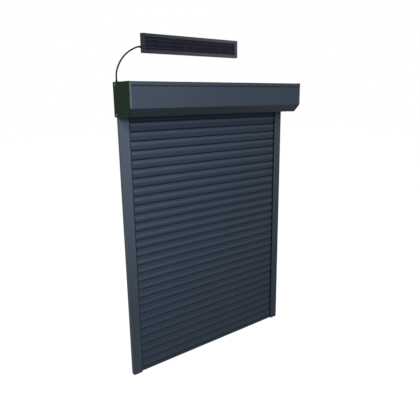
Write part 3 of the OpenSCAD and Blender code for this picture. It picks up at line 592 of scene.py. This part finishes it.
def bendStraps(spec):
    piece = mergedCopy("curtain_straps", "strapBands")
    for index in range(spec["cuts"]):
        height = spec["low"] + (spec["high"] - spec["low"]) * (index + 0.5) / spec["cuts"]
        bpy.ops.mesh.select_all(action="SELECT")
        bpy.ops.mesh.bisect(plane_co=(0, 0, height), plane_no=(0, 0, 1))
    bpy.ops.object.mode_set(mode="OBJECT")
    dress(piece, zincSteel)
    return piece


strapBands = bendStraps(strapSet)
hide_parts("curtain_straps")
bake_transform(strapBands)


# pan-head screws with a six-lobe drive, eight of them: in the ends of the box and up into its underside
screwSet = {
    "sides": 24, "headR": 0.0037, "headT": 0.0018, "dome": 0.0011, "domeSteps": 4,
    "driveR": 0.0018, "driveDeep": 0.0011, "lobeTurn": 60, "lobeIn": 0.74, "lobeMid": 0.88,
    "shankR": 0.0015, "shank": 0.0122, "tip": 0.0015, "tipShare": 0.3,
    "endY": -0.017, "endZ": (0.595, 0.712), "underX": 0.463, "underY": (-0.0845, -0.0525),
}


def modelScrew(spec):  # head below the origin, shank upwards
    near, facing = meshSet["near"], meshSet["facing"]
    low = -spec["headT"]
    dropPick()
    bpy.ops.mesh.primitive_cylinder_add(
        vertices=spec["sides"], radius=spec["headR"], depth=spec["headT"], location=(0, 0, low / 2))
    screw = bpy.context.object
    bpy.ops.object.transform_apply(location=True, rotation=False, scale=False)
    pickEdges(screw, lambda a, b: max(a.z, b.z) < low + near)
    bpy.ops.mesh.bevel(offset=spec["dome"], segments=spec["domeSteps"], affect="EDGES")
    pickFaces(screw, lambda face: face.normal.z < -facing and face.center.xy.length < near)
    bpy.ops.mesh.inset(thickness=spec["headR"] - spec["dome"] - spec["driveR"])
    half, quarter = spec["lobeTurn"] // 2, spec["lobeTurn"] // 4  # of the way from one lobe to the next
    for share, turns in ((spec["lobeIn"], (half,)), (spec["lobeMid"], (quarter, half + quarter))):
        pickCorners(screw, lambda at: at.z < low + near and at.xy.length < spec["driveR"] + near
                    and round(math.degrees(math.atan2(at.y, at.x)) % spec["lobeTurn"]) in turns)
        bpy.ops.transform.resize(value=(share, share, 1), center_override=(0, 0, low))
    pickFaces(screw, lambda face: face.normal.z < -facing and face.center.xy.length < near)
    pushOut((0, 0, spec["driveDeep"]))
    pickFaces(screw, lambda face: face.normal.z > facing and abs(face.center.z) < near)
    bpy.ops.mesh.inset(thickness=spec["headR"] - spec["shankR"])
    pushOut((0, 0, spec["shank"]))
    pushOut((0, 0, spec["tip"]))
    bpy.ops.transform.resize(value=(spec["tipShare"], spec["tipShare"], 1), center_override=(0, 0, 0))
    closeUp(screw)
    return screw


def setScrews(spec):
    low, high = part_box("box_screws")
    endX = high[0] - spec["headT"]
    underZ = low[2] + spec["headT"]
    aims = []
    for side, turn in ((-1, 90), (1, -90)):  # the end screws' heads face outwards
        aims += [(side * endX, spec["endY"], z, turn) for z in spec["endZ"]]
        aims += [(side * spec["underX"], y, underZ, 0) for y in spec["underY"]]
    model = modelScrew(spec)
    copies = []
    for x, y, z, turn in aims:
        mesh = model.data.copy()
        mesh.transform(Matrix.Translation((x, y, z)) @ Matrix.Rotation(math.radians(turn), 4, "Y"))
        copies.append(linked("boxScrew", mesh))
    bpy.data.objects.remove(model)
    screws = joinAll(copies, "boxScrews")
    dress(screws, zincSteel)
    return screws


boxScrews = setScrews(screwSet)
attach(boxScrews, "frame")
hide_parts("box_screws")
print("screws set")


# turned rubber and plastic: a profile traced by pushing one corner along, then spun
def turnProfile(name, profile, start, axis, out):
    dropPick()
    bpy.ops.mesh.primitive_plane_add(size=meshSet["seed"], location=(0, 0, 0))
    piece = bpy.context.object
    piece.name = name
    places = [Vector(start) + Vector(out) * radius + Vector(axis) * along for radius, along in profile]
    pickCorners(piece, lambda at: True)
    bpy.ops.mesh.merge(type="CENTER")
    bpy.ops.transform.translate(value=places[0])
    for here, there in zip(places, places[1:]):
        pushOut(there - here)
    bpy.ops.mesh.select_all(action="SELECT")
    bpy.ops.mesh.spin(steps=meshSet["turnSteps"], angle=math.tau, center=start, axis=axis)
    closeUp(piece)
    return piece


# a tapered sleeve with grooves cut round it; crown and groove are shares of one rib's length
ribSet = {"crown": (0.08, 0.52), "groove": (0.62, 0.98)}


def ribs(low, high, wide, narrow, count, deep):
    line = []
    for index in range(count):
        for part, cut in (("crown", 0), ("groove", deep)):
            for share in ribSet[part]:
                along = (index + share) / count
                line.append((wide + (narrow - wide) * along - cut, low + (high - low) * along))
    return line


# grommet where the cable leaves the box: flange on the deck, ribbed sleeve over it, collar under the sheet
grommetSet = {
    "neck": 0.0039, "collar": 0.0050, "collarSlope": 0.0015, "sheet": 0.0014,
    "flange": 0.0015, "flangeEdge": (0.0003, 0.0006),
    "sleeve": (0.0052, 0.0042), "mouthEdge": (0.0003, 0.0005),
    "ribCount": 3, "ribDeep": 0.0004, "ribStop": 0.0006,
}


def modelGrommet(spec):
    low, high = (Vector(corner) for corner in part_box("cable_grommet"))
    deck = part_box("box_rear_shell")[1][2]
    middle = (low + high) / 2
    foot, top, rim = low.z - deck, high.z - deck, (high.x - low.x) / 2
    neck, collar, flange, tip = spec["neck"], spec["collar"], spec["flange"], spec["sleeve"][1]
    rimIn, rimDown = spec["flangeEdge"]
    tipIn, tipDown = spec["mouthEdge"]
    profile = [
        (0, foot), (neck, foot), (collar, foot + spec["collarSlope"]), (collar, -spec["sheet"]),
        (neck, -spec["sheet"]), (neck, 0), (rim, 0), (rim, flange - rimDown), (rim - rimIn, flange),
    ]
    profile += ribs(flange, top - spec["ribStop"], *spec["sleeve"], spec["ribCount"], spec["ribDeep"])
    profile += [(tip, top - tipDown), (tip - tipIn, top), (0, top)]
    grommet = turnProfile("leadGrommet", profile, (middle.x, middle.y, deck), (0, 0, 1), (1, 0, 0))
    dress(grommet, rubberSkin)
    return grommet


leadGrommet = modelGrommet(grommetSet)
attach(leadGrommet, "frame")
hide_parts("cable_grommet")
print("grommet set")


# junction box on the panel's back, and its gland with a six-sided nut and a ribbed bend relief
junctionSet = {
    "trayWall": 0.0032, "trayFloor": 0.0018, "deep": 0.008, "round": 0.003, "roundSteps": 4,
    "lidRim": 0.0016, "grooveShare": 1 / 3, "lidStep": 0.0006, "neck": 0.0045, "neckIn": 0.0036,
    "nutSides": 6, "nutR": 0.0055, "nutLong": 0.0028, "nutRound": 0.0004, "nutSteps": 3,
    "relief": (0.0047, 0.00405), "ribCount": 4, "ribDeep": 0.0004, "ribStop": 0.0006,
}


def modelCase(low, high, spec):
    dropPick()
    bpy.ops.mesh.primitive_cube_add(size=1, location=(low + high) / 2)
    case = bpy.context.object
    case.scale = high - low
    bpy.ops.object.transform_apply(location=True, rotation=False, scale=True)
    pickEdges(case, lambda a, b: abs(a.y - b.y) > meshSet["near"])  # the four corners of the case
    bpy.ops.mesh.bevel(offset=spec["round"], segments=spec["roundSteps"], affect="EDGES")
    pickFaces(case, lambda face: face.normal.y > meshSet["facing"])  # lid on the side of the wall
    bpy.ops.mesh.inset(thickness=spec["lidRim"])
    pushOut((0, -spec["lidStep"], 0))
    bpy.ops.mesh.inset(thickness=spec["lidRim"] * spec["grooveShare"])
    pushOut((0, spec["lidStep"], 0))
    closeUp(case)
    return case


def modelNut(bore, spec):
    dropPick()
    bpy.ops.mesh.primitive_cylinder_add(
        vertices=spec["nutSides"], radius=spec["nutR"], depth=spec["nutLong"],
        rotation=(0, math.pi / 2, 0), location=bore - Vector((spec["nutLong"] / 2, 0, 0)))
    nut = bpy.context.object
    bpy.ops.object.transform_apply(location=True, rotation=True, scale=False)
    pickAll()
    bpy.ops.mesh.bevel(offset=spec["nutRound"], segments=spec["nutSteps"], affect="EDGES")
    closeUp(nut)
    return nut


def modelJunction(spec):
    low, high = (Vector(corner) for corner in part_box("panel_junction_box"))
    middle = (low + high) / 2
    bore = Vector((panelLow[0], middle.y, middle.z))
    caseLow = Vector((bore.x + spec["trayWall"], cellHigh[1] + spec["trayFloor"], low.z))
    caseHigh = Vector((high.x, caseLow.y + spec["deep"], high.z))
    tip = bore.x - low.x
    profile = [(0, -spec["neckIn"]), (spec["neck"], -spec["neckIn"]), (spec["neck"], spec["nutLong"])]
    profile += ribs(
        spec["nutLong"], tip - spec["ribStop"], *spec["relief"], spec["ribCount"], spec["ribDeep"])
    profile += [(spec["relief"][1], tip), (0, tip)]
    pieces = [modelCase(caseLow, caseHigh, spec), modelNut(bore, spec)]
    pieces.append(turnProfile("bendRelief", profile, bore, (-1, 0, 0), (0, 0, 1)))
    junction = joinAll(pieces, "panelJunction")
    dress(junction, blackPlastic)
    return junction


panelJunction = modelJunction(junctionSet)
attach(panelJunction, "frame")
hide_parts("panel_junction_box")
print("junction box set")


# pale floor well below the shutter, white to the camera, still taking a soft shadow
floorSet = {
    "height": -1.02, "size": 40, "tone": (0.35, 0.35, 0.35, 1), "rough": 0.9,
    "glowNear": 0.87, "glowFar": 1.0, "glowFrom": (1.4, 3.6),
}
worldSet = {"fill": 0.08}
lampSet = {
    "keyLamp": {"place": (-1.35, -1.55, 1.75), "at": (-0.1, 0, 0.15), "size": (1.1, 0.7), "power": 23.5},
    "frontLamp": {"place": (-1.2, -2.1, 1.05), "at": (-0.2, 0, 0.2), "size": (0.8, 0.5), "power": 30.5},
    "sideLamp": {"place": (-1.55, -0.75, 0.2), "at": (-0.47, 0, 0.1), "size": (0.5, 1.4), "power": 4},
    "backLamp": {"place": (1.1, 2.4, 1.3), "at": (0, 0, 0.2), "size": (1.6, 1.2), "power": 45},
}
white = (1, 1, 1, 1)


def showing(tree):  # 1 for the rays that show the backdrop, straight or in gloss and glass
    rays = Wire(tree).node("ShaderNodeLightPath").socket.node.outputs
    seen = Wire(tree, rays["Is Camera Ray"])
    for kind in ("Is Glossy Ray", "Is Transmission Ray"):
        seen = seen.orMore(Wire(tree, rays[kind]))
    return seen


def layFloor(spec):
    dropPick()
    bpy.ops.mesh.primitive_plane_add(size=spec["size"], location=(0, 0, spec["height"]))
    bpy.ops.object.transform_apply(location=True, rotation=False, scale=False)
    floor = bpy.context.object
    floor.name = "paleFloor"
    material = bpy.data.materials.new("paleFloor")
    material.use_nodes = True
    tree = material.node_tree
    shader = tree.nodes["Principled BSDF"]
    at = Wire(tree).node("ShaderNodeTexCoord", out="Object")
    at.feed(shader, {"Base Color": spec["tone"], "Roughness": spec["rough"], "Specular IOR Level": 0.0})
    away = at.node("ShaderNodeVectorMath", {"operation": "LENGTH"}, {0: at}, out="Value")
    strength = spec["glowNear"] + away.ramp(*spec["glowFrom"]) * (spec["glowFar"] - spec["glowNear"])
    glow = at.node("ShaderNodeEmission", None, {"Color": white, "Strength": showing(tree) * strength})
    both = at.node("ShaderNodeAddShader", None, {0: Wire(tree, shader.outputs[0]), 1: glow})
    at.feed(tree.nodes["Material Output"], {"Surface": both})
    dress(floor, material)


def setWorld(spec):
    world = bpy.data.worlds.new("studio")
    bpy.context.scene.world = world
    world.use_nodes = True
    tree = world.node_tree
    seen = showing(tree)
    strength = seen + (1 - seen) * spec["fill"]
    seen.feed(tree.nodes["Background"], {"Color": white, "Strength": strength})


def hangLamp(name, spec):
    data = bpy.data.lights.new(name, "AREA")
    data.shape = "RECTANGLE"
    data.size, data.size_y = spec["size"]
    data.energy = spec["power"]
    lamp = linked(name, data)
    lamp.location = spec["place"]
    lamp.visible_glossy = False  # the lacquer is matt: no lamp shows in it
    aim = Vector(spec["at"]) - Vector(spec["place"])
    lamp.rotation_mode = "QUATERNION"
    lamp.rotation_quaternion = aim.to_track_quat("-Z", "Y")


layFloor(floorSet)
setWorld(worldSet)
for lampName, lampSpec in lampSet.items():
    hangLamp(lampName, lampSpec)
bpy.context.scene.view_settings.view_transform = "Standard"
print("stage lit")
